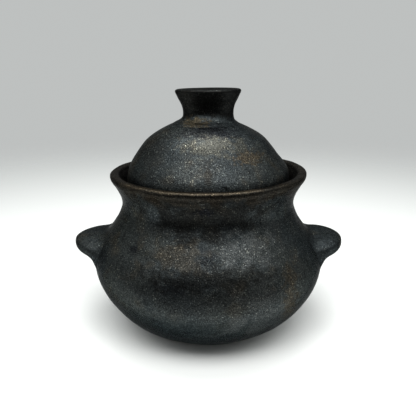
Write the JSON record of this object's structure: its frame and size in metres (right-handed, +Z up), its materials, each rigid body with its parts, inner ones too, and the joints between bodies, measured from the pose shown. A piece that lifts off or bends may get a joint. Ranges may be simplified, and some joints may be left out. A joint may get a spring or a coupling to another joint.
{
  "type": "lidded clay cooking pot",
  "caption": "Round-bellied black clay cooking pot with flared mouth, tongue-shaped lugs and a domed lid with a waisted knob.",
  "frame": {"origin": "centre of the flat foot, on the surface the pot stands on", "axes": "+Z up along the axis of the pot and lid; +X towards the right lug; -Y towards the viewer"},
  "size_m": [0.2368, 0.1964, 0.2078],
  "materials": {
    "pot_clay": "smoke-blackened, hand-burnished, satin with mica flecks",
    "lid_clay": "smoke-blackened, hand-burnished, satin with mica flecks and brown fire clouds"
  },
  "bodies": {
    "pot": {"pot_body": "pot_clay", "left_lug_handle": "pot_clay", "right_lug_handle": "pot_clay"},
    "lid": {"lid_dome": "lid_clay", "lid_knob": "lid_clay"}
  },
  "joints": [
    {"name": "lid_lift", "type": "slide", "parent": "pot", "child": "lid", "axis": [0, 0, 1], "range_m": [0, 0.12]}
  ]
}
